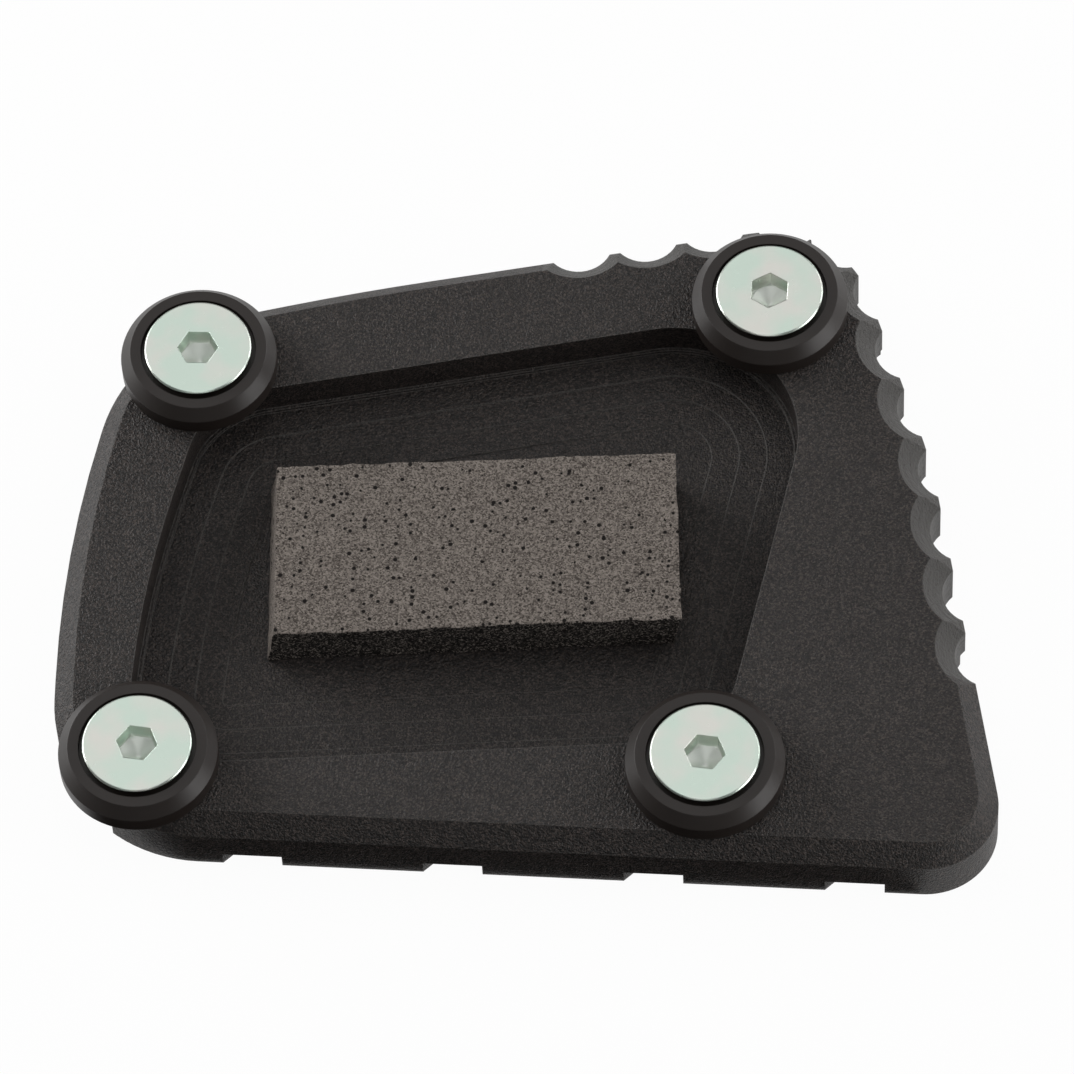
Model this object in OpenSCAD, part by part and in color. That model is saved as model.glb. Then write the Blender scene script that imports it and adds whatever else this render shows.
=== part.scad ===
// Kickstand foot enlarger: a milled plate that widens the foot of a motorcycle's side stand.
// The stand's own foot drops into the pocket, bears on the foam pad, and is held down by the
// four clamp washers, whose rims reach over the pocket. Millimetres, +Z up. The origin is on
// the ground face, under the middle of the plate; the long front edge runs along X.

/* [Plate] */
// Overall thickness of the plate
plate_t = 8; // [7:0.5:12]
// Width and height of the 45 degree bevel round the top edge
bevel = 2.2; // [1:0.1:3]
// Distance of the front edge from the origin
front_y = 40.5; // [38:0.5:46]
// Radius of the front left corner
front_left_r = 17; // [14:0.5:19]
// Radius of the front right corner
front_right_r = 8; // [5:0.5:12]
// Radius of the back right corner, which carries scallops
back_right_r = 11.9; // [10:0.1:14]
// Radius of the back left corner
back_left_r = 20; // [14:0.5:21]

/* [Scallops] */
// Radius of the cutter that makes the scallops
scallop_r = 3.9; // [3:0.1:5]
// Depth of each scallop, measured in from the outline
scallop_depth = 1.7; // [1:0.05:2.4]
// Number of scallops on the straight back edge
back_scallops = 3; // [1:1:4]
// Spacing of the scallops on the back edge
back_pitch = 7.66; // [7:0.01:9]
// Number of scallops down the right edge
right_scallops = 7; // [3:1:8]
// Spacing of the scallops on the right edge
right_pitch = 8.06; // [7:0.01:8.5]

/* [Pocket] */
// Depth of the pocket at its wall
pocket_depth = 4.7; // [3.5:0.1:5]
// Radius of the pocket's corners
pocket_r = 10.3; // [10:0.1:11]
// Radius of the pocket's back right corner
pocket_wide_r = 14; // [11:0.5:16]
// Width and height of the small step that the finishing pass leaves at the foot of the wall
foot_step = 0.4; // [0.2:0.1:0.6]
// Number of terraces that the cutter's passes leave on the floor
terraces = 3; // [1:1:3]
// Width of each terrace
terrace_w = 3.1; // [2.5:0.1:3.2]
// How far each terrace lies below the one outside it
terrace_drop = 0.12; // [0.05:0.01:0.15]

/* [Ground grooves] */
// Width of each groove across its run
groove_w = 4.6; // [3:0.1:6]
// Depth of the grooves
groove_depth = 1.9; // [1:0.1:2]
// Spacing of the grooves along the front edge
groove_pitch = 22; // [18:0.5:26]
// Direction of the grooves, measured from the front edge
groove_angle = 45; // [35:1:55]

/* [Foam pad] */
// Length of the foam pad
pad_l = 44.7; // [35:0.1:47]
// Width of the foam pad
pad_w = 21.4; // [16:0.1:23]
// Thickness of the foam pad
pad_t = 5.6; // [5:0.1:7]
// Angle at which the pad is stuck down
pad_angle = 5.3; // [0:0.1:8]
// How far the slanted cuts at its ends carry the pad's top to the right of its foot
pad_slant = 1; // [0:0.1:2]

/* [Clamp washers] */
// Width of the flat ring on top of a clamp washer
ring_w = 1.2; // [0.8:0.1:2]
// Width of the cone outside the ring
cone_w = 1.1; // [0.5:0.1:2]
// Height of the cone outside the ring
cone_h = 1.4; // [0.6:0.1:2]
// Gap between the rim of the screw head and the counterbore round it
head_gap = 0.45; // [0.2:0.05:0.8]
// Depth of the counterbore
counterbore_depth = 0.8; // [0.5:0.1:1.2]
// Thickness of the washer below the cone of the screw head
washer_floor = 0.5; // [0.4:0.1:2]
// Gap between the screw's shank and the washer's hole
shank_gap = 0.3; // [0.1:0.05:0.5]

/* [Screws] */
// Nominal diameter of the screws
screw_d = 6; // [5:0.5:6]
// Diameter of the countersunk head
head_d = 12; // [11:0.1:12.3]
// Height of the thin straight rim of the head
head_rim = 0.3; // [0.2:0.1:0.5]
// How far the head stands above the washer
head_proud = 0.5; // [0.1:0.1:0.8]
// Overall length of the screw
screw_l = 10; // [8:0.5:11]
// Width across the flats of the hexagon socket
socket_af = 4; // [3:0.5:5]
// Depth of the hexagon socket
socket_depth = 2.3; // [1.5:0.1:2.5]
// Gap all round between a screw and what it goes through
screw_gap = 0.05; // [0.03:0.01:0.1]

/* [Hidden] */
$fn = 64;
cut = 1;            // how far a cutter runs past the face that it opens
arc_step = 5;       // degrees between the points of a rounded corner

// Each screw's place, and the turn of its hexagon socket
BACK_LEFT = [-39.55, 18.3, 2];
BACK_RIGHT = [24, 28.9, 30];
FRONT_LEFT = [-41.7, -32.45, -5];
FRONT_RIGHT = [20.2, -30.45, -5];
SCREWS = [BACK_LEFT, BACK_RIGHT, FRONT_LEFT, FRONT_RIGHT];

// The plate's outline, anticlockwise: where its sides would meet, and the radius there.
// The bends are gentle ones, where a side bows or turns by a few degrees.
RIGHT_BEND = [43, 11, 60];
BACK_RIGHT_CORNER = [31.3, 42.4, back_right_r];
BACK_BEND = [-22.5, 30.2, 300];
FRONT_RIGHT_CORNER = [54.2, -front_y, front_right_r];
PLATE = [
  [-51.2, -front_y, front_left_r], FRONT_RIGHT_CORNER, RIGHT_BEND, BACK_RIGHT_CORNER,
  BACK_BEND, [-47.8, 23, back_left_r], [-52.95, -5.8, 140]
];
POCKET = [
  [-43.7, -33.3, pocket_r], [21.7, -26.7, pocket_r - 0.2], [31.4, 30.2, pocket_wide_r],
  [-38.45, 14, pocket_r], [-43.25, -9.5, 125]
];
PAD_CENTRE = [-6.7, -3.6];
FIRST_GROOVE_X = -29;   // where the leftmost of the grooves in the front edge crosses it
GROOVES_LEFT = 3;       // grooves that start from the left edge
GROOVES_FRONT = 4;      // grooves that start from the front edge
groove_l = 200;

head_cone_h = (head_d - screw_d) / 2;   // the screw head is countersunk at 90 degrees
counterbore_r = head_d / 2 + head_gap;
ring_r = counterbore_r + ring_w;
washer_r = ring_r + cone_w;
washer_t = head_rim + head_cone_h - head_proud + washer_floor;
head_top_z = plate_t + washer_t + head_proud;
floor_z = plate_t - pocket_depth - terraces * terrace_drop;
thread_hole_r = screw_d / 2 + screw_gap;

// Scallop places along the outline, measured from where the back right corner starts:
// the last one on the back edge, the two on the corner, the first on the right edge
BACK_RUN_START = -4.07;
CORNER_RUN = [3.95, 10.05];
RIGHT_RUN_START = 0.32;

function xy(p) = [p[0], p[1]];
function unit(v) = v / norm(v);
function turned(v, a) = [v[0] * cos(a) - v[1] * sin(a), v[0] * sin(a) + v[1] * cos(a)];
function heading(a, b) = atan2(b[1] - a[1], b[0] - a[0]);
function corner_turn(a, b, c) = (heading(b, c) - heading(a, b) + 720) % 360;

// Centre of the arc that rounds the corner b between a and c
function arc_centre(a, b, c) =
  let (u = unit(xy(a) - xy(b)), v = unit(xy(c) - xy(b)), half = (180 - corner_turn(a, b, c)) / 2)
  xy(b) + unit(u + v) * b[2] / sin(half);

// Points of one rounded corner, with the whole outline moved in by inset
function corner_points(a, b, c, inset) =
  let (o = arc_centre(a, b, c), turn = corner_turn(a, b, c), n = ceil(turn / arc_step) + 3)
  [for (i = [0:n]) o + turned([b[2] - inset, 0], heading(a, b) - 90 + turn * i / n)];

// Points of a whole outline of rounded corners, moved in by inset
function outline(corners, inset) =
  let (n = len(corners))
  [for (i = [0:n - 1])
    each corner_points(corners[(i + n - 1) % n], corners[i], corners[(i + 1) % n], inset)];

// A solid that follows one outline up through a list of [inset, height] levels
module lofted(corners, levels) {
  rings = [for (level = levels) outline(corners, level[0])];
  n = len(rings[0]);
  last = len(levels) - 1;
  polyhedron(
    points = [for (k = [0:last]) for (p = rings[k]) [p[0], p[1], levels[k][1]]],
    faces = concat(
      [[for (i = [0:n - 1]) i]],
      [for (k = [0:last - 1]) for (i = [0:n - 1])
        [k * n + i, (k + 1) * n + i, (k + 1) * n + (i + 1) % n, k * n + (i + 1) % n]],
      [[for (i = [n - 1:-1:0]) last * n + i]]
    )
  );
}

// Place on the outline at the distance s from the start of the back right corner, as
// [x, y, direction outwards]. It runs clockwise: back edge, corner, upper and lower right edge.
function scallop_place(s) =
  let (
    o = arc_centre(RIGHT_BEND, BACK_RIGHT_CORNER, BACK_BEND),
    turn = corner_turn(RIGHT_BEND, BACK_RIGHT_CORNER, BACK_BEND),
    back = heading(BACK_BEND, BACK_RIGHT_CORNER),
    upper = heading(BACK_RIGHT_CORNER, RIGHT_BEND),
    lower = heading(RIGHT_BEND, FRONT_RIGHT_CORNER),
    arc_l = back_right_r * turn * PI / 180,
    arc_end = o + turned([back_right_r, 0], upper + 90),
    upper_l = norm(xy(RIGHT_BEND) - arc_end),
    past = s - arc_l
  )
  s < 0 ? concat(o + turned([back_right_r, 0], back + 90) + turned([s, 0], back), back + 90)
  : past < 0 ? let (a = back + 90 - turn * s / arc_l) concat(o + turned([back_right_r, 0], a), a)
  : past < upper_l ? concat(arc_end + turned([past, 0], upper), upper + 90)
  : concat(xy(RIGHT_BEND) + turned([past - upper_l, 0], lower), lower + 90);

corner_l = back_right_r * corner_turn(RIGHT_BEND, BACK_RIGHT_CORNER, BACK_BEND) * PI / 180;
SCALLOPS = concat(
  [for (i = [0:back_scallops - 1]) BACK_RUN_START - i * back_pitch],
  CORNER_RUN,
  [for (i = [0:right_scallops - 1]) corner_l + RIGHT_RUN_START + i * right_pitch]
);

// One scallop: a round cut down the edge, with the bevel carried round its top
module scallop_cut(s) {
  place = scallop_place(s);
  centre = xy(place) + turned([scallop_r - scallop_depth, 0], place[2]);
  translate([centre[0], centre[1], -cut])
    cylinder(r = scallop_r, h = plate_t + 2 * cut);
  translate([centre[0], centre[1], plate_t - bevel])
    cylinder(r1 = scallop_r, r2 = scallop_r + bevel + cut, h = bevel + cut);
}

// The pocket: one straight-walled level inside the other, from the step at the foot of the
// wall down to the innermost terrace
module pocket_cut() {
  wall_foot = plate_t - pocket_depth;
  levels = concat(
    [[0, wall_foot + foot_step], [foot_step, wall_foot]],
    [for (k = [1:terraces]) [foot_step + k * terrace_w, wall_foot - k * terrace_drop]]
  );
  for (level = levels)
    translate([0, 0, level[1]])
      linear_extrude(height = plate_t + cut - level[1]) polygon(outline(POCKET, level[0]));
}

module groove_cut(x) {
  translate([x, -front_y, 0])
    rotate(groove_angle)
      translate([-groove_l / 2, -groove_w / 2, -cut])
        cube([groove_l, groove_w, groove_depth + cut]);
}

module base_plate() {
  color("#242323")
    difference() {
      lofted(PLATE, [[0, 0], [0, plate_t - bevel], [bevel, plate_t]]);
      for (s = SCALLOPS) scallop_cut(s);
      pocket_cut();
      for (place = SCREWS)
        translate([place[0], place[1], -cut]) cylinder(r = thread_hole_r, h = plate_t + 2 * cut);
      for (i = [-GROOVES_LEFT:GROOVES_FRONT - 1]) groove_cut(FIRST_GROOVE_X + i * groove_pitch);
    }
}

// A block cut from sheet, with slanted cuts at its two ends. It is soft, so its underside
// follows the terraces where its corners lie over them.
module foam_pad() {
  half_l = pad_l / 2;
  color("#5d5754")
    intersection() {
      pocket_cut();
      translate([PAD_CENTRE[0], PAD_CENTRE[1], floor_z])
        rotate([90, 0, pad_angle])
          translate([0, 0, -pad_w / 2])
            linear_extrude(height = pad_w)
              polygon([
                [-half_l - pad_slant, 0], [half_l - pad_slant, 0], [half_l, pad_t], [-half_l, pad_t]
              ]);
    }
}

module clamp_washer(place) {
  bore_r = screw_d / 2 + shank_gap;
  seat_top = washer_t - counterbore_depth;
  seat_r = head_d / 2 - (counterbore_depth + head_proud - head_rim) + screw_gap * sqrt(2);
  color("#1c1b1b")
    translate([place[0], place[1], plate_t])
      rotate_extrude()
        polygon([
          [bore_r, 0], [washer_r, 0], [washer_r, washer_t - cone_h], [ring_r, washer_t],
          [counterbore_r, washer_t], [counterbore_r, seat_top], [seat_r, seat_top],
          [bore_r, seat_top - (seat_r - bore_r)]
        ]);
}

module clamp_screw(place) {
  edge = 0.15;
  tip = 0.8;
  color("#c9d2cb")
    translate([place[0], place[1], head_top_z])
      rotate(place[2])
        difference() {
          rotate_extrude()
            polygon([
              [0, 0], [head_d / 2 - edge, 0], [head_d / 2, -edge], [head_d / 2, -head_rim],
              [screw_d / 2, -head_rim - head_cone_h], [screw_d / 2, tip - screw_l],
              [screw_d / 2 - tip, -screw_l], [0, -screw_l]
            ]);
          translate([0, 0, -socket_depth]) cylinder(d = socket_af / cos(30), h = socket_depth + cut, $fn = 6);
          translate([0, 0, -socket_depth - socket_af / 4])
            cylinder(r1 = 0, r2 = socket_af / 2, h = socket_af / 4 + 0.01);
        }
}

base_plate();
foam_pad();
clamp_washer(BACK_LEFT);  // clamp_washer_back_left
clamp_washer(BACK_RIGHT);  // clamp_washer_back_right
clamp_washer(FRONT_LEFT);  // clamp_washer_front_left
clamp_washer(FRONT_RIGHT);  // clamp_washer_front_right
clamp_screw(BACK_LEFT);  // clamp_screw_back_left
clamp_screw(BACK_RIGHT);  // clamp_screw_back_right
clamp_screw(FRONT_LEFT);  // clamp_screw_front_left
clamp_screw(FRONT_RIGHT);  // clamp_screw_front_right
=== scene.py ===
"""Looks of the kickstand foot enlarger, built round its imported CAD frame.

The plate, the clamp washers and the screws are the CAD model's own meshes with
procedural finishes. The foam pad is modelled here, in the place of its plain
CAD solid. Metres throughout, in the CAD model's own frame.
"""

from __future__ import annotations

import logging
import math
from dataclasses import dataclass
from enum import Enum
from typing import Any

import bpy
from mathutils import Matrix, Vector

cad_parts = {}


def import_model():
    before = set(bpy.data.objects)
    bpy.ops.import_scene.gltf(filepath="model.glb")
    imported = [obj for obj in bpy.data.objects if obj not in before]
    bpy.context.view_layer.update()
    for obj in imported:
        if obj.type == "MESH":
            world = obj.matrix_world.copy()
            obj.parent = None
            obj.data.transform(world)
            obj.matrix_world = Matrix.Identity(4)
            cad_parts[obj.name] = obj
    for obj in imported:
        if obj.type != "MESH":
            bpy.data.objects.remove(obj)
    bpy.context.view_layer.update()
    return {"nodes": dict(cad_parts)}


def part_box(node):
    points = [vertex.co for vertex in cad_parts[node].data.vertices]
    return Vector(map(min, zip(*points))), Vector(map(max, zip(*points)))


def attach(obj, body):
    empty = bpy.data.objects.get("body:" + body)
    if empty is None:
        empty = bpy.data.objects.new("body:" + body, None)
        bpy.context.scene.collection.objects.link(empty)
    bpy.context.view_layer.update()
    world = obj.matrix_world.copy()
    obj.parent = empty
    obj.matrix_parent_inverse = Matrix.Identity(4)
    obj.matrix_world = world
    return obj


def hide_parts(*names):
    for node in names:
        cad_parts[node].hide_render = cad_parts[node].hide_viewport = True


LOG = logging.getLogger("foot_enlarger")
MM = 0.001
BEVEL_SAMPLES = 6
Triple = tuple[float, float, float]
Reach = tuple[Triple, float]


def srgb(hex_code: str) -> tuple[float, float, float, float]:
    """Turn an sRGB hex colour into Blender's linear RGBA.

    Args:
        hex_code: Six hex digits, such as "2a2928".

    Returns:
        Linear red, green, blue and an alpha of 1.
    """
    parts = [int(hex_code[i : i + 2], 16) / 255 for i in (0, 2, 4)]
    linear = [c / 12.92 if c <= 0.04045 else ((c + 0.055) / 1.055) ** 2.4 for c in parts]
    return (linear[0], linear[1], linear[2], 1.0)


def per_metre(size_mm: float) -> float:
    """Texture scale, on Object coordinates in metres, of a pattern size_mm across."""
    return 1000.0 / size_mm


def add_node(
    tree: bpy.types.NodeTree,
    kind: str,
    settings: dict[str, Any] | None = None,
    links: dict[str, bpy.types.NodeSocket] | None = None,
    values: dict[str, Any] | None = None,
) -> bpy.types.Node:
    """Add one shader node with its settings, socket values and incoming links.

    Args:
        tree: The material's node tree.
        kind: The node's type, such as "ShaderNodeTexNoise".
        settings: Attributes of the node itself.
        links: Output sockets by the name or index of the input that they feed.
        values: Values by the name or index of the input that they set.

    Returns:
        The new node.
    """
    node = tree.nodes.new(kind)
    for name, value in (settings or {}).items():
        setattr(node, name, value)
    for name, value in (values or {}).items():
        node.inputs[name].default_value = value
    for name, socket in (links or {}).items():
        tree.links.new(socket, node.inputs[name])
    return node


def new_material(name: str) -> tuple[bpy.types.Material, bpy.types.Node, bpy.types.NodeSocket]:
    """Start a material with a Principled shader and its Object coordinates.

    Args:
        name: The material's name.

    Returns:
        The material, its Principled node and the Object coordinate socket.
    """
    material = bpy.data.materials.new(name)
    material.use_nodes = True
    tree = material.node_tree
    tree.nodes.clear()
    shader = add_node(tree, "ShaderNodeBsdfPrincipled")
    add_node(tree, "ShaderNodeOutputMaterial", links={"Surface": shader.outputs[0]})
    place = add_node(tree, "ShaderNodeTexCoord").outputs["Object"]
    return material, shader, place


class Finish(Enum):
    """The object's finishes, by the record's material slot."""

    COATED_PLATE = "coated_plate"
    COATED_WASHER = "coated_washer"
    PLATED_STEEL = "plated_steel"
    FOAM = "foam"


@dataclass(frozen=True)
class TexturedPowderCoat:
    """Black fine-texture polyester powder coat, baked on milled aluminium.

    It gives the eye a warm near-black satin with a leathery grain, whose grains
    have their own tones, the brightest painted as glints. The scallops, which show
    level cutter marks, are painted paler as light on their slopes, and the edges
    carry a painted highlight.
    """

    body: str = "0e0b0a"
    # Partly the grains' own tone, partly painted glints on the brightest grains.
    grain_tone_and_painted_glint: str = "423a36"
    # Painted light: the paler colour of the scallops' sloped faces.
    scallop_painted_light: str = "3d3b39"
    # Painted highlight: the paler colour along the edges.
    edge_painted_highlight: str = "55524f"
    # How much of the edges' painted highlight shows where the edge is sharpest.
    edge_highlight_share: float = 0.65
    # The cosine of the turn at which an edge starts to show, and at which it is sharpest.
    edge_turn: tuple[float, float] = (0.995, 0.9)
    edge_mm: float = 0.22
    grain_mm: float = 0.38
    fine_grain_mm: float = 0.22
    relief_mm: float = 0.2
    relief_strength: float = 0.9
    # Such a coat's grains are mostly finer than 0.1 mm. Drawn coarser, so that they show.
    speck_mm: float = 0.17
    # The higher this power is, the fewer grains are bright with the painted glint.
    speck_rarity: float = 2.4
    # Such cutter marks are often about 0.1 mm apart. Drawn coarser, so that they show.
    cutter_mark_mm: float = 0.4
    # The marks run level, so their pattern is drawn out along X and Y.
    mark_stretch: Triple = (0.06, 0.06, 1.0)
    # The size of a unit normal's Z at which a face stops being level, and is all slope.
    level_and_slope: tuple[float, float] = (0.95, 0.8)
    # For the right edge and the back edge: a direction outwards with the distance at which
    # the scallops' inner ends lie, and a direction along with where the first one starts.
    scallop_zones: tuple[tuple[Reach, Reach], ...] = (
        (((0.95, 0.3, 0.0), 37.2), ((0.0, 1.0, 0.0), -17.3)),
        (((-0.22, 0.97, 0.0), 29.5), ((1.0, 0.0, 0.0), -2.0)),
    )
    patch_mm: float = 3.0
    smoothest: float = 0.47
    roughest: float = 0.57
    specular: float = 0.4

    def build(self) -> bpy.types.Material:
        """Build the material.

        Returns:
            The finished material.
        """
        material, shader, place = new_material("powder_coat_black_textured")
        tree = material.node_tree
        flat = add_node(tree, "ShaderNodeNewGeometry")
        rounded = add_node(
            tree, "ShaderNodeBevel", {"samples": BEVEL_SAMPLES},
            values={"Radius": self.edge_mm * MM},
        )
        scallop = self.scallops(tree, place, flat)
        bump = add_node(
            tree, "ShaderNodeBump",
            links={"Height": self.relief(tree, place, scallop), "Normal": rounded.outputs[0]},
            values={"Strength": self.relief_strength, "Distance": self.relief_mm * MM},
        )
        tree.links.new(bump.outputs[0], shader.inputs["Normal"])
        colour = self.colour(tree, place, scallop, self.edges(tree, flat, rounded))
        tree.links.new(colour, shader.inputs["Base Color"])
        patches = add_node(
            tree, "ShaderNodeTexNoise", links={"Vector": place},
            values={"Scale": per_metre(self.patch_mm), "Detail": 3.0},
        )
        rough = add_node(
            tree, "ShaderNodeMapRange", links={"Value": patches.outputs["Fac"]},
            values={"To Min": self.smoothest, "To Max": self.roughest},
        )
        tree.links.new(rough.outputs[0], shader.inputs["Roughness"])
        shader.inputs["Specular IOR Level"].default_value = self.specular
        return material

    def scallops(
        self, tree: bpy.types.NodeTree, place: bpy.types.NodeSocket, flat: bpy.types.Node
    ) -> bpy.types.NodeSocket:
        """Mask the scallops: the faces that aren't level, along the back and right edges, which
        get painted light and cutter marks.

        Args:
            tree: The material's node tree.
            place: The Object coordinate socket.
            flat: The Geometry node.

        Returns:
            The socket of the mask.
        """
        normal = add_node(tree, "ShaderNodeSeparateXYZ", links={0: flat.outputs["Normal"]})
        level = add_node(
            tree, "ShaderNodeMath", {"operation": "ABSOLUTE"}, links={0: normal.outputs["Z"]}
        )
        slope = add_node(
            tree, "ShaderNodeMapRange", links={"Value": level.outputs[0]},
            values={
                "From Min": self.level_and_slope[0], "From Max": self.level_and_slope[1],
                "To Min": 0.0, "To Max": 1.0,
            },
        )
        zones = []
        for zone in self.scallop_zones:
            limits = []
            for direction, least in zone:
                far = add_node(
                    tree, "ShaderNodeVectorMath", {"operation": "DOT_PRODUCT"},
                    links={0: place}, values={1: direction},
                )
                limits.append(add_node(
                    tree, "ShaderNodeMath", {"operation": "GREATER_THAN"},
                    links={0: far.outputs["Value"]}, values={1: least * MM},
                ))
            zones.append(add_node(
                tree, "ShaderNodeMath", {"operation": "MULTIPLY"},
                links={0: limits[0].outputs[0], 1: limits[1].outputs[0]},
            ))
        there = add_node(
            tree, "ShaderNodeMath", {"operation": "MAXIMUM"},
            links={0: zones[0].outputs[0], 1: zones[1].outputs[0]},
        )
        mask = add_node(
            tree, "ShaderNodeMath", {"operation": "MULTIPLY"},
            links={0: there.outputs[0], 1: slope.outputs[0]},
        )
        return mask.outputs[0]

    def relief(
        self,
        tree: bpy.types.NodeTree,
        place: bpy.types.NodeSocket,
        scallop: bpy.types.NodeSocket,
    ) -> bpy.types.NodeSocket:
        """Add the coat's grain, and the level cutter marks in the scallops.

        Args:
            tree: The material's node tree.
            place: The Object coordinate socket.
            scallop: The scallops' mask.

        Returns:
            The socket of the height.
        """
        grain = add_node(
            tree, "ShaderNodeTexNoise", links={"Vector": place},
            values={"Scale": per_metre(self.grain_mm), "Detail": 2.0, "Roughness": 0.6},
        )
        fine = add_node(
            tree, "ShaderNodeTexNoise", links={"Vector": place},
            values={"Scale": per_metre(self.fine_grain_mm), "Detail": 1.0},
        )
        coat = add_node(
            tree, "ShaderNodeMath", {"operation": "ADD"},
            links={0: grain.outputs["Fac"], 1: fine.outputs["Fac"]},
        )
        along = add_node(
            tree, "ShaderNodeMapping", links={"Vector": place},
            values={"Scale": self.mark_stretch},
        )
        marks = add_node(
            tree, "ShaderNodeTexNoise", links={"Vector": along.outputs[0]},
            values={"Scale": per_metre(self.cutter_mark_mm), "Detail": 1.0},
        )
        cut = add_node(
            tree, "ShaderNodeMath", {"operation": "MULTIPLY"},
            links={0: marks.outputs["Fac"], 1: scallop},
        )
        height = add_node(
            tree, "ShaderNodeMath", {"operation": "ADD"},
            links={0: cut.outputs[0], 1: coat.outputs[0]},
        )
        return height.outputs[0]

    def edges(
        self, tree: bpy.types.NodeTree, flat: bpy.types.Node, rounded: bpy.types.Node
    ) -> bpy.types.NodeSocket:
        """Mask the edges for their painted highlight, by how far the rounded normal turns away
        from the true one.

        Args:
            tree: The material's node tree.
            flat: The Geometry node.
            rounded: The Bevel node.

        Returns:
            The socket of the mask.
        """
        turn = add_node(
            tree, "ShaderNodeVectorMath", {"operation": "DOT_PRODUCT"},
            links={0: rounded.outputs[0], 1: flat.outputs["Normal"]},
        )
        edge = add_node(
            tree, "ShaderNodeMapRange", links={"Value": turn.outputs["Value"]},
            values={
                "From Min": self.edge_turn[0], "From Max": self.edge_turn[1],
                "To Min": 0.0, "To Max": self.edge_highlight_share,
            },
        )
        return edge.outputs[0]

    def colour(
        self,
        tree: bpy.types.NodeTree,
        place: bpy.types.NodeSocket,
        scallop: bpy.types.NodeSocket,
        edge: bpy.types.NodeSocket,
    ) -> bpy.types.NodeSocket:
        """Add the coat's colour: grains of their own shade each, the brightest painted as
        glints, with painted light on the scallops and a painted highlight on the edges.

        Args:
            tree: The material's node tree.
            place: The Object coordinate socket.
            scallop: The scallops' mask.
            edge: The edges' mask, for their painted highlight.

        Returns:
            The socket of the colour.
        """
        grains = add_node(
            tree, "ShaderNodeTexVoronoi", {"feature": "F1"}, links={"Vector": place},
            values={"Scale": per_metre(self.speck_mm)},
        )
        chance = add_node(tree, "ShaderNodeSeparateColor", links={0: grains.outputs["Color"]})
        bright = add_node(
            tree, "ShaderNodeMath", {"operation": "POWER"},
            links={0: chance.outputs["Red"]}, values={1: self.speck_rarity},
        )
        # Grain tone, with painted glints on the brightest grains.
        colour = add_node(
            tree, "ShaderNodeMix", {"data_type": "RGBA"}, links={0: bright.outputs[0]},
            values={6: srgb(self.body), 7: srgb(self.grain_tone_and_painted_glint)},
        )
        # Painted light on the scallops' slopes, and a painted highlight on the edges.
        for mask, shade in ((scallop, self.scallop_painted_light), (edge, self.edge_painted_highlight)):
            colour = add_node(
                tree, "ShaderNodeMix", {"data_type": "RGBA"},
                links={0: mask, 6: colour.outputs[2]}, values={7: srgb(shade)},
            )
        return colour.outputs[2]


@dataclass(frozen=True)
class BlackAnodisedTurned:
    """Black anodised aluminium, turned on a lathe.

    It gives the eye a smooth dark satin, with a grey sheen and faint turned
    lines round the cones.
    """

    body: str = "201a17"
    # A finishing feed is often about 0.08 mm. Drawn coarser, so that it shows.
    feed_mm: float = 0.2
    # The lines run round the cones, so their pattern is drawn out along X and Y.
    line_stretch: Triple = (0.05, 0.05, 1.0)
    line_depth_mm: float = 0.03
    line_strength: float = 0.3
    edge_mm: float = 0.16
    bloom_mm: float = 1.6
    smoothest: float = 0.38
    roughest: float = 0.48
    specular: float = 0.4

    def build(self) -> bpy.types.Material:
        """Build the material.

        Returns:
            The finished material.
        """
        material, shader, place = new_material("anodised_aluminium_black_turned")
        tree = material.node_tree
        round_axis = add_node(
            tree, "ShaderNodeMapping", links={"Vector": place},
            values={"Scale": self.line_stretch},
        )
        lines = add_node(
            tree, "ShaderNodeTexNoise", links={"Vector": round_axis.outputs[0]},
            values={"Scale": per_metre(self.feed_mm), "Detail": 2.0},
        )
        bloom = add_node(
            tree, "ShaderNodeTexNoise", links={"Vector": place},
            values={"Scale": per_metre(self.bloom_mm), "Detail": 4.0},
        )
        rounded = add_node(
            tree, "ShaderNodeBevel", {"samples": BEVEL_SAMPLES},
            values={"Radius": self.edge_mm * MM},
        )
        bump = add_node(
            tree, "ShaderNodeBump",
            links={"Height": lines.outputs["Fac"], "Normal": rounded.outputs[0]},
            values={"Strength": self.line_strength, "Distance": self.line_depth_mm * MM},
        )
        rough = add_node(
            tree, "ShaderNodeMapRange", links={"Value": bloom.outputs["Fac"]},
            values={"To Min": self.smoothest, "To Max": self.roughest},
        )
        tree.links.new(bump.outputs[0], shader.inputs["Normal"])
        tree.links.new(rough.outputs[0], shader.inputs["Roughness"])
        shader.inputs["Base Color"].default_value = srgb(self.body)
        shader.inputs["Specular IOR Level"].default_value = self.specular
        return material


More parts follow.
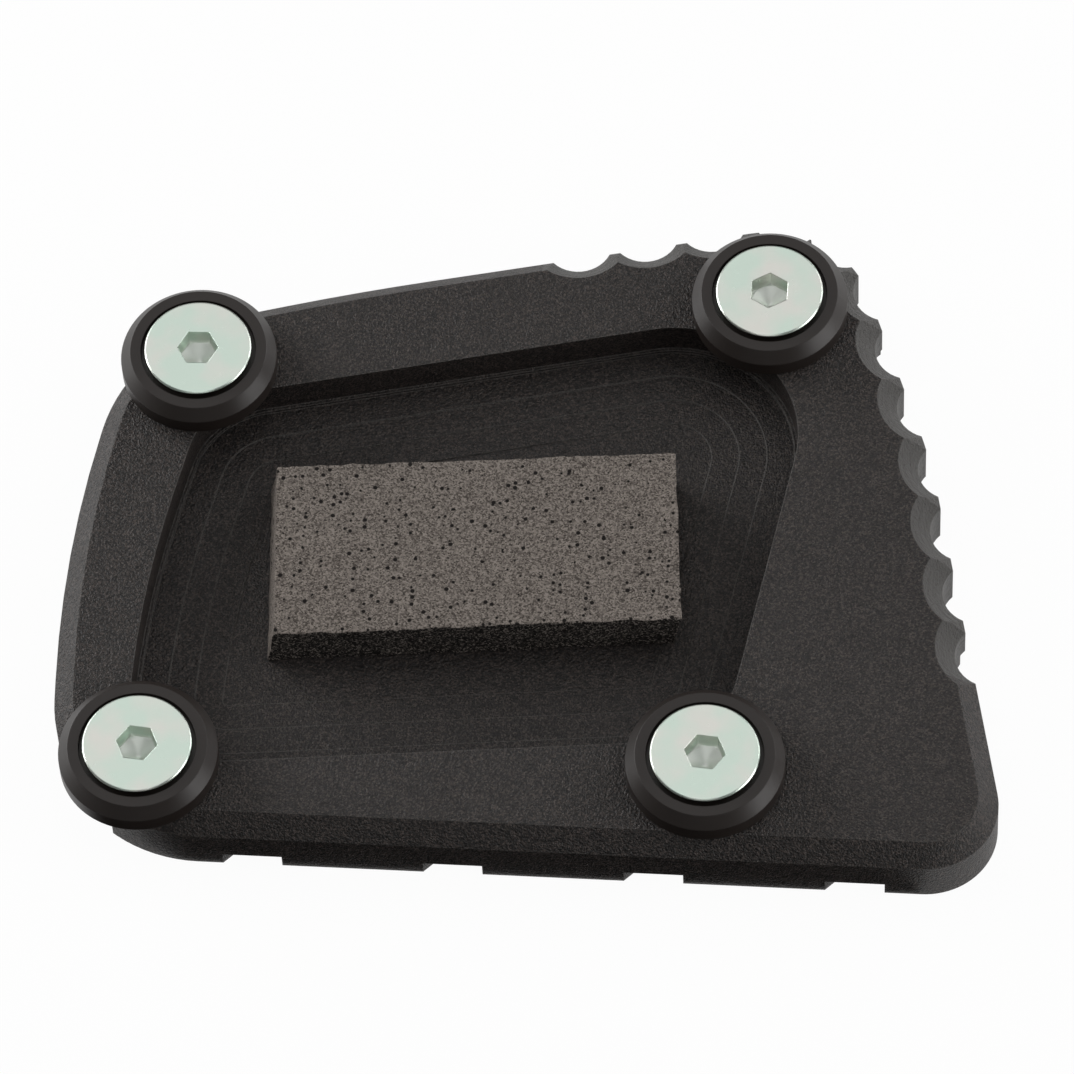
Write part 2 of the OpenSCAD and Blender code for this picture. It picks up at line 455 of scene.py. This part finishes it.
@dataclass(frozen=True)
class ZincPlatedSteel:
    """Bright zinc-plated steel, clear passivated.

    It gives the eye a pale silver whose thin passivation film drifts between a
    greenish and a pinkish cast, with soft reflections. Down in the forged socket
    the steel is duller, and painted paler as painted light.
    """

    green_cast: str = "cbdacf"
    pink_cast: str = "d8d8d1"
    # Painted light: the paler colour deep in the socket.
    socket: str = "eef2ec"
    edge_mm: float = 0.16
    film_mm: float = 5.0
    # The film's noise at which the green cast starts to turn, and is all pink.
    film_turn: tuple[float, float] = (0.4, 0.65)
    crystal_mm: float = 0.4
    smoothest: float = 0.24
    roughest: float = 0.36
    socket_roughness: float = 0.5
    # Heights above the ground face between which the socket's duller steel and its painted light
    # fade in.
    socket_top_mm: float = 10.2
    socket_deep_mm: float = 9.5

    def build(self) -> bpy.types.Material:
        """Build the material.

        Returns:
            The finished material.
        """
        material, shader, place = new_material("zinc_plated_steel_clear")
        tree = material.node_tree
        film = add_node(
            tree, "ShaderNodeTexNoise", links={"Vector": place},
            values={"Scale": per_metre(self.film_mm), "Detail": 2.0},
        )
        cast = add_node(
            tree, "ShaderNodeMapRange", links={"Value": film.outputs["Fac"]},
            values={"From Min": self.film_turn[0], "From Max": self.film_turn[1]},
        )
        colour = add_node(
            tree, "ShaderNodeMix", {"data_type": "RGBA"}, links={0: cast.outputs[0]},
            values={6: srgb(self.green_cast), 7: srgb(self.pink_cast)},
        )
        crystals = add_node(
            tree, "ShaderNodeTexNoise", links={"Vector": place},
            values={"Scale": per_metre(self.crystal_mm), "Detail": 3.0},
        )
        rough = add_node(
            tree, "ShaderNodeMapRange", links={"Value": crystals.outputs["Fac"]},
            values={"To Min": self.smoothest, "To Max": self.roughest},
        )
        spot = add_node(tree, "ShaderNodeSeparateXYZ", links={0: place})
        deep = add_node(
            tree, "ShaderNodeMapRange", links={"Value": spot.outputs["Z"]},
            values={
                "From Min": self.socket_top_mm * MM, "From Max": self.socket_deep_mm * MM,
                "To Min": 0.0, "To Max": 1.0,
            },
        )
        dull = add_node(
            tree, "ShaderNodeMix", {"data_type": "FLOAT"},
            links={0: deep.outputs[0], 2: rough.outputs[0]}, values={3: self.socket_roughness},
        )
        # Painted light: the socket's paler colour.
        steel = add_node(
            tree, "ShaderNodeMix", {"data_type": "RGBA"},
            links={0: deep.outputs[0], 6: colour.outputs[2]}, values={7: srgb(self.socket)},
        )
        rounded = add_node(
            tree, "ShaderNodeBevel", {"samples": BEVEL_SAMPLES},
            values={"Radius": self.edge_mm * MM},
        )
        tree.links.new(rounded.outputs[0], shader.inputs["Normal"])
        tree.links.new(steel.outputs[2], shader.inputs["Base Color"])
        tree.links.new(dull.outputs[0], shader.inputs["Roughness"])
        shader.inputs["Metallic"].default_value = 1.0
        return material


@dataclass(frozen=True)
class CutFoamRubber:
    """Closed-cell foam rubber, cut from sheet.

    It gives the eye a matt grey-brown, finely speckled, with opened cells as
    small pits of uneven size, painted dark as the shade down in them, crowded in
    some places and sparse in others.
    The two long cut sides are darker, partly as the knife opens more cells there and partly as
    painted shade.
    """

    dark_speck: str = "38322e"
    light_speck: str = "877f78"
    # Partly the cut sides' many opened cells, partly painted shade.
    cut_side_with_painted_shade: str = "0d0b0a"
    # Painted shade: the near-black down in the opened cells.
    pit: str = "130f0d"
    # Such foam has a grain of about 0.1 mm. Drawn coarser, so that it shows.
    speck_mm: float = 0.16
    # The higher this power is, the fewer pale specks the long cut sides have.
    side_speck_rarity: float = 4.0
    # The size of a unit normal's Y from which a face counts as a long cut side, and in full.
    side_facing: tuple[float, float] = (0.4, 0.7)
    pit_spacing_mm: float = 0.74
    crowd_mm: float = 9.0
    # A pit's radius, in spacings: its own chance and the crowding there, each by its
    # weight, less what keeps most cells closed. None is larger than largest_pit.
    chance_weight: float = 0.9
    crowd_weight: float = 0.6
    closed: float = 0.77
    largest_pit: float = 0.35
    # How far outside and inside its radius a pit's rim fades.
    pit_rim: tuple[float, float] = (-0.04, 0.06)
    # The pit's depth against the height of the specks.
    pit_depth: float = 1.5
    relief_mm: float = 0.1
    relief_strength: float = 0.6
    roughness: float = 0.92
    specular: float = 0.25

    def build(self) -> bpy.types.Material:
        """Build the material.

        Returns:
            The finished material.
        """
        material, shader, place = new_material("foam_rubber_closed_cell_cut")
        tree = material.node_tree
        specks = add_node(
            tree, "ShaderNodeTexVoronoi", {"feature": "F1"}, links={"Vector": place},
            values={"Scale": per_metre(self.speck_mm)},
        )
        speck = add_node(tree, "ShaderNodeSeparateColor", links={0: specks.outputs["Color"]})
        sparse = add_node(
            tree, "ShaderNodeMath", {"operation": "POWER"},
            links={0: speck.outputs["Red"]}, values={1: self.side_speck_rarity},
        )
        shades = []
        for share, dark in (
            (speck.outputs["Red"], self.dark_speck),
            (sparse.outputs[0], self.cut_side_with_painted_shade),
        ):
            shades.append(add_node(
                tree, "ShaderNodeMix", {"data_type": "RGBA"}, links={0: share},
                values={6: srgb(dark), 7: srgb(self.light_speck)},
            ))
        flat = add_node(tree, "ShaderNodeNewGeometry")
        normal = add_node(tree, "ShaderNodeSeparateXYZ", links={0: flat.outputs["Normal"]})
        facing = add_node(
            tree, "ShaderNodeMath", {"operation": "ABSOLUTE"}, links={0: normal.outputs["Y"]}
        )
        side = add_node(
            tree, "ShaderNodeMapRange", links={"Value": facing.outputs[0]},
            values={
                "From Min": self.side_facing[0], "From Max": self.side_facing[1],
                "To Min": 0.0, "To Max": 1.0,
            },
        )
        # The long cut sides' darker colour: partly opened cells, partly painted shade.
        cut_side_with_painted_shade = add_node(
            tree, "ShaderNodeMix", {"data_type": "RGBA"},
            links={0: side.outputs[0], 6: shades[0].outputs[2], 7: shades[1].outputs[2]},
        )
        pit = self.pits(tree, place)
        # Painted shade in the pits.
        colour = add_node(
            tree, "ShaderNodeMix", {"data_type": "RGBA"}, links={0: pit, 6: cut_side_with_painted_shade.outputs[2]},
            values={7: srgb(self.pit)},
        )
        depth = add_node(
            tree, "ShaderNodeMath", {"operation": "MULTIPLY_ADD"},
            links={0: pit, 2: speck.outputs["Red"]}, values={1: -self.pit_depth},
        )
        bump = add_node(
            tree, "ShaderNodeBump", links={"Height": depth.outputs[0]},
            values={"Strength": self.relief_strength, "Distance": self.relief_mm * MM},
        )
        tree.links.new(colour.outputs[2], shader.inputs["Base Color"])
        tree.links.new(bump.outputs[0], shader.inputs["Normal"])
        shader.inputs["Roughness"].default_value = self.roughness
        shader.inputs["Specular IOR Level"].default_value = self.specular
        return material

    def pits(
        self, tree: bpy.types.NodeTree, place: bpy.types.NodeSocket
    ) -> bpy.types.NodeSocket:
        """Add the opened cells: one round pit per Voronoi cell, of its own radius, or none.

        Args:
            tree: The material's node tree.
            place: The Object coordinate socket.

        Returns:
            The socket of the pits' mask.
        """
        cells = add_node(
            tree, "ShaderNodeTexVoronoi", {"feature": "F1"}, links={"Vector": place},
            values={"Scale": per_metre(self.pit_spacing_mm)},
        )
        chance = add_node(tree, "ShaderNodeSeparateColor", links={0: cells.outputs["Color"]})
        crowding = add_node(
            tree, "ShaderNodeTexNoise", links={"Vector": place},
            values={"Scale": per_metre(self.crowd_mm), "Detail": 1.0},
        )
        spread = add_node(
            tree, "ShaderNodeMath", {"operation": "MULTIPLY_ADD"},
            links={0: crowding.outputs["Fac"]},
            values={1: self.crowd_weight, 2: -self.closed},
        )
        size = add_node(
            tree, "ShaderNodeMath", {"operation": "MULTIPLY_ADD"},
            links={0: chance.outputs["Red"], 2: spread.outputs[0]},
            values={1: self.chance_weight},
        )
        radius = add_node(
            tree, "ShaderNodeMath", {"operation": "MINIMUM"},
            links={0: size.outputs[0]}, values={1: self.largest_pit},
        )
        inside = add_node(
            tree, "ShaderNodeMath", {"operation": "SUBTRACT"},
            links={0: radius.outputs[0], 1: cells.outputs["Distance"]},
        )
        mask = add_node(
            tree, "ShaderNodeMapRange", links={"Value": inside.outputs[0]},
            values={
                "From Min": self.pit_rim[0], "From Max": self.pit_rim[1],
                "To Min": 0.0, "To Max": 1.0,
            },
        )
        return mask.outputs[0]


@dataclass
class MetalParts:
    """The plate, the clamp washers and the screws, on the CAD model's meshes."""

    nodes: dict[str, bpy.types.Object]
    materials: dict[Finish, bpy.types.Material]

    def finish_of(self, name: str) -> Finish | None:
        """Return the finish of the CAD node called name, or None for the foam."""
        if name.startswith("clamp_washer"):
            return Finish.COATED_WASHER
        if name.startswith("clamp_screw"):
            return Finish.PLATED_STEEL
        return Finish.COATED_PLATE if name == "base_plate" else None

    def dress(self) -> None:
        """Give each metal node its finish, in its own material slots."""
        for name, node in sorted(self.nodes.items()):
            finish = self.finish_of(name)
            if finish is None:
                continue
            if not node.material_slots:
                node.data.materials.append(None)
            for slot in node.material_slots:
                slot.material = self.materials[finish]
            LOG.info("%s: %s", name, finish.value)


class Push(Enum):
    """The way in which a knife mark moves the foam."""

    LENGTHWAYS = "X"
    CROSSWAYS = "Y"


@dataclass(frozen=True)
class KnifeMark:
    """One set of waves that the knife leaves in cut sides of the foam, in millimetres."""

    name: str
    push: Push
    on_ends: bool
    depth: float
    size: float


@dataclass
class FoamPad:
    """The foam block on the pocket's floor, cut by hand from sheet, in millimetres."""

    material: bpy.types.Material
    centre: tuple[float, float] = (-6.7, -3.59)
    length: float = 44.7
    width: float = 21.3
    turn_deg: float = 5.3
    slant: float = 1.0
    edge_softness: float = 0.12
    smooth_angle_deg: float = 35.0
    slices: tuple[int, int, int] = (110, 54, 14)
    # A face is one of the four sides when its normal's Z is smaller than this, and one of
    # the two ends when its normal's part along the block is larger than that.
    side_below: float = 0.6
    end_above: float = 0.7
    # How far each corner of the hand-cut block is off a true rectangle.
    corner_shifts: tuple[tuple[float, float], ...] = (
        (-0.31, -0.13), (0.02, 0.03), (-0.02, 0.02), (0.28, 0.14),
    )
    knife_marks: tuple[KnifeMark, ...] = (
        KnifeMark("front_and_back", Push.CROSSWAYS, False, 0.35, 2.6),
        KnifeMark("front_and_back_tears", Push.CROSSWAYS, False, 0.25, 0.6),
        KnifeMark("ends", Push.LENGTHWAYS, True, 0.3, 2.2),
    )

    def build(self) -> bpy.types.Object:
        """Build the block and put it in the place of the CAD solid.

        Returns:
            The finished pad.
        """
        low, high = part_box("foam_pad")
        bpy.ops.object.select_all(action="DESELECT")
        bpy.ops.mesh.primitive_cube_add(size=1.0)
        pad = bpy.context.active_object
        pad.name = "foam_pad_cut"
        pad.scale = (self.length * MM, self.width * MM, high.z - low.z)
        pad.rotation_euler = (0.0, 0.0, math.radians(self.turn_deg))
        pad.location = (self.centre[0] * MM, self.centre[1] * MM, (low.z + high.z) / 2)
        bpy.ops.object.transform_apply(location=True, rotation=True, scale=True)
        self.skew(pad, (low.z + high.z) / 2)
        self.soften(pad)
        for axis, count in enumerate(self.slices):
            self.slice_up(pad, axis, count)
        self.roughen(pad)
        bpy.ops.object.shade_smooth_by_angle(angle=math.radians(self.smooth_angle_deg))
        pad.data.materials.append(self.material)
        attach(pad, "root")
        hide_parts("foam_pad")
        return pad

    def axes(self) -> tuple[Vector, Vector]:
        """Return the block's directions along its length and across it."""
        turn = math.radians(self.turn_deg)
        along = Vector((math.cos(turn), math.sin(turn), 0))
        return along, Vector((-along.y, along.x, 0))

    def pick(self, pad: bpy.types.Object, wanted: list[int]) -> None:
        """Select these vertices alone and go to edit mode.

        Args:
            pad: The block.
            wanted: Indices of its vertices.
        """
        bpy.ops.object.mode_set(mode="EDIT")
        bpy.ops.mesh.select_mode(type="VERT")
        bpy.ops.mesh.select_all(action="DESELECT")
        bpy.ops.object.mode_set(mode="OBJECT")
        for index in wanted:
            pad.data.vertices[index].select = True
        bpy.ops.object.mode_set(mode="EDIT")

    def skew(self, pad: bpy.types.Object, middle_z: float) -> None:
        """Slant the two ends and set the four corners where the knife left them.

        Args:
            pad: The block, still a plain box of eight vertices.
            middle_z: Height of the block's middle.
        """
        along, across = self.axes()
        centre = Vector((self.centre[0] * MM, self.centre[1] * MM, 0))
        foot = [v.index for v in pad.data.vertices if v.co.z < middle_z]
        self.pick(pad, foot)
        bpy.ops.transform.translate(value=along * (-self.slant * MM))
        bpy.ops.object.mode_set(mode="OBJECT")
        quarters = ((-1, -1), (1, -1), (1, 1), (-1, 1))
        for (x_side, y_side), shift in zip(quarters, self.corner_shifts):
            corner = [
                v.index for v in pad.data.vertices
                if (v.co - centre).dot(along) * x_side > 0
                and (v.co - centre).dot(across) * y_side > 0
            ]
            self.pick(pad, corner)
            bpy.ops.transform.translate(value=(shift[0] * MM, shift[1] * MM, 0))
            bpy.ops.object.mode_set(mode="OBJECT")

    def soften(self, pad: bpy.types.Object) -> None:
        """Round the edges a little, as the soft foam gives way to the knife.

        Args:
            pad: The block.
        """
        self.pick(pad, [v.index for v in pad.data.vertices])
        bpy.ops.mesh.bevel(offset=self.edge_softness * MM, segments=2, affect="EDGES")
        bpy.ops.object.mode_set(mode="OBJECT")

    def slice_up(self, pad: bpy.types.Object, axis: int, count: int) -> None:
        """Cut the block into slices along its length, its width or its height.

        Args:
            pad: The block.
            axis: 0, 1 or 2 for the length, the width or the height.
            count: The number of slices.
        """
        normal = (*self.axes(), Vector((0, 0, 1)))[axis]
        places = [v.co.dot(normal) for v in pad.data.vertices]
        start, end = min(places), max(places)
        bpy.ops.object.mode_set(mode="EDIT")
        for i in range(1, count):
            bpy.ops.mesh.select_all(action="SELECT")
            at = normal * (start + (end - start) * i / count)
            bpy.ops.mesh.bisect(plane_co=at, plane_no=normal)
        bpy.ops.object.mode_set(mode="OBJECT")

    def roughen(self, pad: bpy.types.Object) -> None:
        """Give the four cut sides the small waves and tears that the knife leaves.

        Args:
            pad: The sliced block.
        """
        along = self.axes()[0]
        sides = [p for p in pad.data.polygons if abs(p.normal.z) < self.side_below]
        for mark in self.knife_marks:
            group = pad.vertex_groups.new(name=mark.name)
            faces = [
                p for p in sides if (abs(p.normal.dot(along)) > self.end_above) == mark.on_ends
            ]
            group.add(sorted({i for p in faces for i in p.vertices}), 1.0, "REPLACE")
            waves = bpy.data.textures.new(mark.name, "CLOUDS")
            waves.noise_scale = mark.size * MM
            modifier = pad.modifiers.new(mark.name, "DISPLACE")
            modifier.texture = waves
            modifier.texture_coords = "LOCAL"
            modifier.direction = mark.push.value
            modifier.strength = mark.depth * MM
            modifier.mid_level = 0.5
            modifier.vertex_group = mark.name
            bpy.ops.object.modifier_apply(modifier=mark.name)


@dataclass(frozen=True)
class Softbox:
    """A rectangular lamp that faces the object, in millimetres.

    Its glow is its radiance, where 1 is as bright as a white background.
    """

    name: str
    place: Triple
    size: tuple[float, float]
    glow: float


@dataclass
class Studio:
    """Floor, soft lights and the camera, in millimetres."""

    camera_place: Triple = (57.33, -462.9, 800.0)
    look_at: Triple = (0.13, -4.4, 11.8)
    image_up: Triple = (-0.0428, 0.8622, 0.5047)
    lens: float = 277.5
    world_glow: float = 0.07
    floor_size: float = 6000.0
    floor_grey: float = 0.8
    # How much of its own white the floor shows to the camera. The rest shows its shadow.
    floor_white: float = 0.96
    card_place: Triple = (-12.0, -90.6, 0.2)
    card_size: tuple[float, float] = (112.0, 100.0)
    # Painted shade: a dark card that only reflections see, in place of shaded floor.
    floor_shade_black: str = "0c0c0c"
    softboxes: tuple[Softbox, ...] = (
        Softbox("ceiling_softbox", (-35, 300, 520), (640, 460), 0.9),
        Softbox("overhead_softbox", (-60, -40, 650), (260, 260), 1.7),
        Softbox("left_strip", (-520, 250, 160), (500, 280), 7.0),
        Softbox("left_softbox", (-420, 60, 420), (300, 300), 0.75),
        Softbox("right_strip", (430, 400, 120), (420, 200), 4.2),
        Softbox("right_softbox", (430, 60, 390), (400, 380), 1.35),
        Softbox("front_right_strip", (630, -150, 150), (420, 260), 4.9),
        Softbox("front_softbox", (0, -420, 420), (400, 250), 1.6),
    )

    def build(self) -> None:
        """Make the floor, the lights and the camera."""
        self.floor()
        self.flag()
        self.world()
        for softbox in self.softboxes:
            self.lamp(softbox)
        self.camera()

    def camera(self) -> None:
        """Stand the camera where the photograph was taken from."""
        data = bpy.data.cameras.new("photo_camera")
        data.sensor_width = 36.0
        data.sensor_fit = "HORIZONTAL"
        data.lens = self.lens
        data.clip_start, data.clip_end = 0.05, 20.0
        camera = bpy.data.objects.new("photo_camera", data)
        bpy.context.scene.collection.objects.link(camera)
        place = Vector(self.camera_place) * MM
        back = (place - Vector(self.look_at) * MM).normalized()
        right = Vector(self.image_up).cross(back).normalized()
        up = back.cross(right)
        turn = Matrix((right, up, back)).transposed()
        camera.matrix_world = Matrix.Translation(place) @ turn.to_4x4()
        bpy.context.scene.camera = camera

    def lamp(self, softbox: Softbox) -> None:
        """Hang one softbox and turn it to the object.

        Args:
            softbox: The lamp's name, place, size and glow.
        """
        data = bpy.data.lights.new(softbox.name, "AREA")
        data.shape = "RECTANGLE"
        data.size, data.size_y = softbox.size[0] * MM, softbox.size[1] * MM
        data.energy = softbox.glow * math.pi * data.size * data.size_y
        lamp = bpy.data.objects.new(softbox.name, data)
        bpy.context.scene.collection.objects.link(lamp)
        lamp.location = Vector(softbox.place) * MM
        lamp.rotation_euler = (-lamp.location).to_track_quat("-Z", "Y").to_euler()

    def world(self) -> None:
        """Fill the room with an even, dim grey light."""
        world = bpy.data.worlds.new("studio")
        world.use_nodes = True
        glow = self.world_glow
        world.node_tree.nodes["Background"].inputs[0].default_value = (glow, glow, glow, 1)
        bpy.context.scene.world = world

    def floor(self) -> None:
        """Lay a plain pale floor that shows as white, with a faint shadow."""
        bpy.ops.object.select_all(action="DESELECT")
        bpy.ops.mesh.primitive_plane_add(size=self.floor_size * MM, location=(0, 0, 0))
        floor = bpy.context.active_object
        floor.name = "studio_floor"
        material = bpy.data.materials.new("white_studio_floor")
        material.use_nodes = True
        tree = material.node_tree
        tree.nodes.clear()
        grey = (self.floor_grey, self.floor_grey, self.floor_grey, 1)
        matt = add_node(tree, "ShaderNodeBsdfDiffuse", values={0: grey})
        glow = add_node(tree, "ShaderNodeEmission", values={0: (1, 1, 1, 1), 1: 1.0})
        path = add_node(tree, "ShaderNodeLightPath")
        mirrored = add_node(
            tree, "ShaderNodeMath", {"operation": "ADD"},
            links={0: path.outputs["Is Glossy Ray"], 1: path.outputs["Is Transmission Ray"]},
        )
        seen = add_node(
            tree, "ShaderNodeMath", {"operation": "ADD", "use_clamp": True},
            links={0: path.outputs["Is Camera Ray"], 1: mirrored.outputs[0]},
        )
        share = add_node(
            tree, "ShaderNodeMath", {"operation": "MULTIPLY"},
            links={0: seen.outputs[0]}, values={1: self.floor_white},
        )
        mix = add_node(
            tree, "ShaderNodeMixShader",
            links={0: share.outputs[0], 1: matt.outputs[0], 2: glow.outputs[0]},
        )
        add_node(tree, "ShaderNodeOutputMaterial", links={"Surface": mix.outputs[0]})
        floor.data.materials.append(material)

    def flag(self) -> None:
        """Lay a black card before the front edge, which only reflections see: painted shade in
        the front walls' reflections.
        """
        bpy.ops.object.select_all(action="DESELECT")
        bpy.ops.mesh.primitive_plane_add(size=1.0, location=Vector(self.card_place) * MM)
        flag = bpy.context.active_object
        flag.name = "floor_shade_flag"
        flag.scale = (self.card_size[0] * MM, self.card_size[1] * MM, 1.0)
        bpy.ops.object.transform_apply(location=True, rotation=True, scale=True)
        flag.visible_camera = False
        flag.visible_diffuse = False
        flag.visible_transmission = False
        flag.visible_volume_scatter = False
        flag.visible_shadow = False
        material = bpy.data.materials.new("floor_shade_card")
        material.use_nodes = True
        tree = material.node_tree
        tree.nodes.clear()
        # Painted shade, seen only in reflections.
        matt = add_node(tree, "ShaderNodeBsdfDiffuse", values={0: srgb(self.floor_shade_black)})
        add_node(tree, "ShaderNodeOutputMaterial", links={"Surface": matt.outputs[0]})
        flag.data.materials.append(material)


def main() -> None:
    """Build the object's looks and the studio, in order."""
    logging.basicConfig(level=logging.INFO, format="%(name)s: %(message)s")
    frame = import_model()
    scene = bpy.context.scene
    scene.view_settings.view_transform = "Standard"
    materials = {
        Finish.COATED_PLATE: TexturedPowderCoat().build(),
        Finish.COATED_WASHER: BlackAnodisedTurned().build(),
        Finish.PLATED_STEEL: ZincPlatedSteel().build(),
        Finish.FOAM: CutFoamRubber().build(),
    }
    MetalParts(frame["nodes"], materials).dress()
    pad = FoamPad(materials[Finish.FOAM]).build()
    LOG.info("foam_pad: %s, %d faces", Finish.FOAM.value, len(pad.data.polygons))
    Studio().build()


if __name__ == "__main__":
    main()
